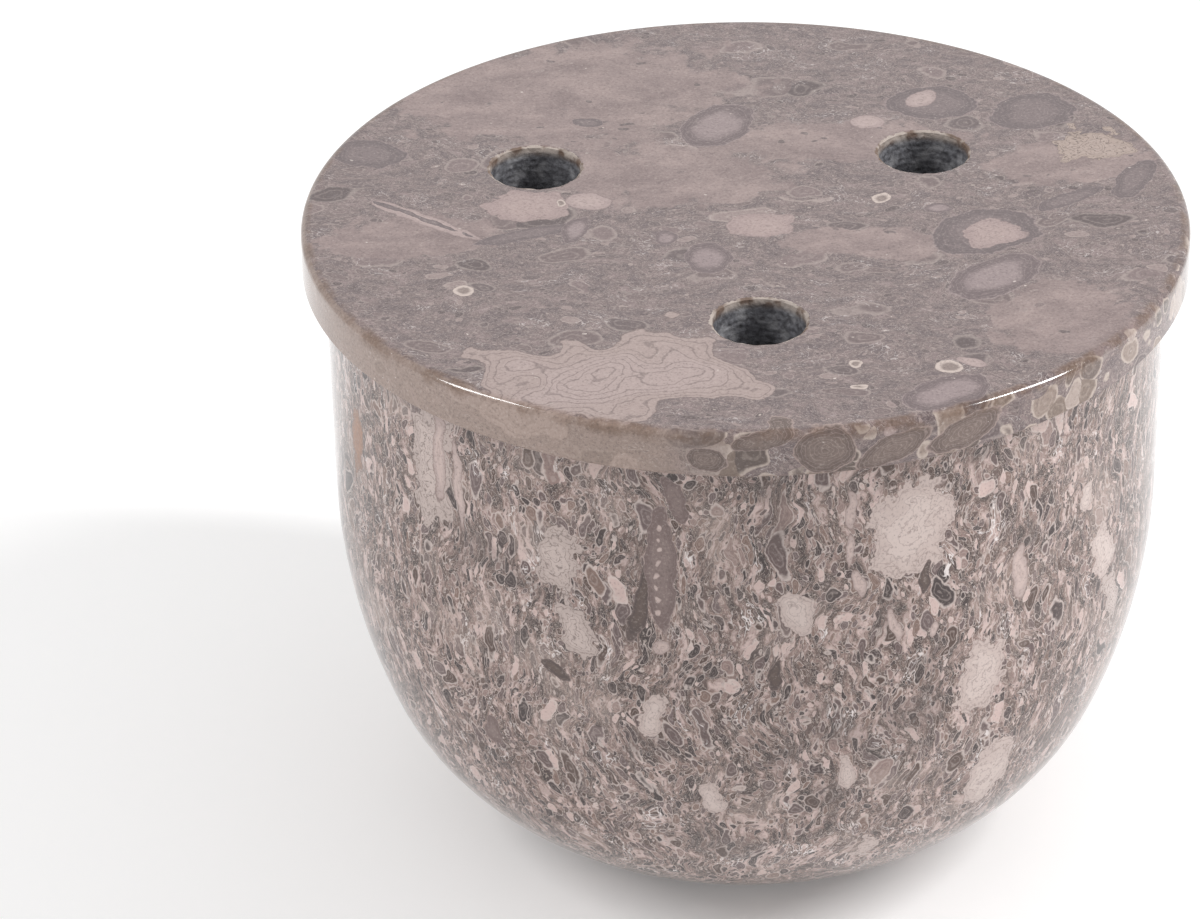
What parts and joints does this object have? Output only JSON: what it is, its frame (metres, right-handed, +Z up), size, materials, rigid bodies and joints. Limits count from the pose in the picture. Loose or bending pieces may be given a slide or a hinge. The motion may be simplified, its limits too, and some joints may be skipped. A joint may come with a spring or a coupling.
{
  "type": "garlic keeper",
  "caption": "Round stone keeper: a deep turned bowl with a flat slab lid that has air holes and a step that drops into the mouth.",
  "frame": {"origin": "on the worktop, under the middle of the bowl", "axes": "+Z up along the axis of the bowl and lid, -Y towards the front, which is the side that the picture shows"},
  "size_m": [0.14, 0.14, 0.105],
  "materials": {
    "bowl_marble": "polished fossil marble outside, honed inside and under the foot",
    "lid_marble": "polished fossil marble on the top and edge, honed underneath, drilled and left matt in the air holes",
    "foot_pads": "matt soft closed-cell pad"
  },
  "bodies": {
    "bowl_body": {"bowl": "bowl_marble", "foot_pad_1": "foot_pads", "foot_pad_2": "foot_pads", "foot_pad_3": "foot_pads", "foot_pad_4": "foot_pads"},
    "lid_body": {"lid": "lid_marble"}
  },
  "joints": [
    {"name": "lid_lift", "type": "slide", "parent": "bowl_body", "child": "lid_body", "axis": [0, 0, 1], "range_m": [0, 0.12]}
  ]
}
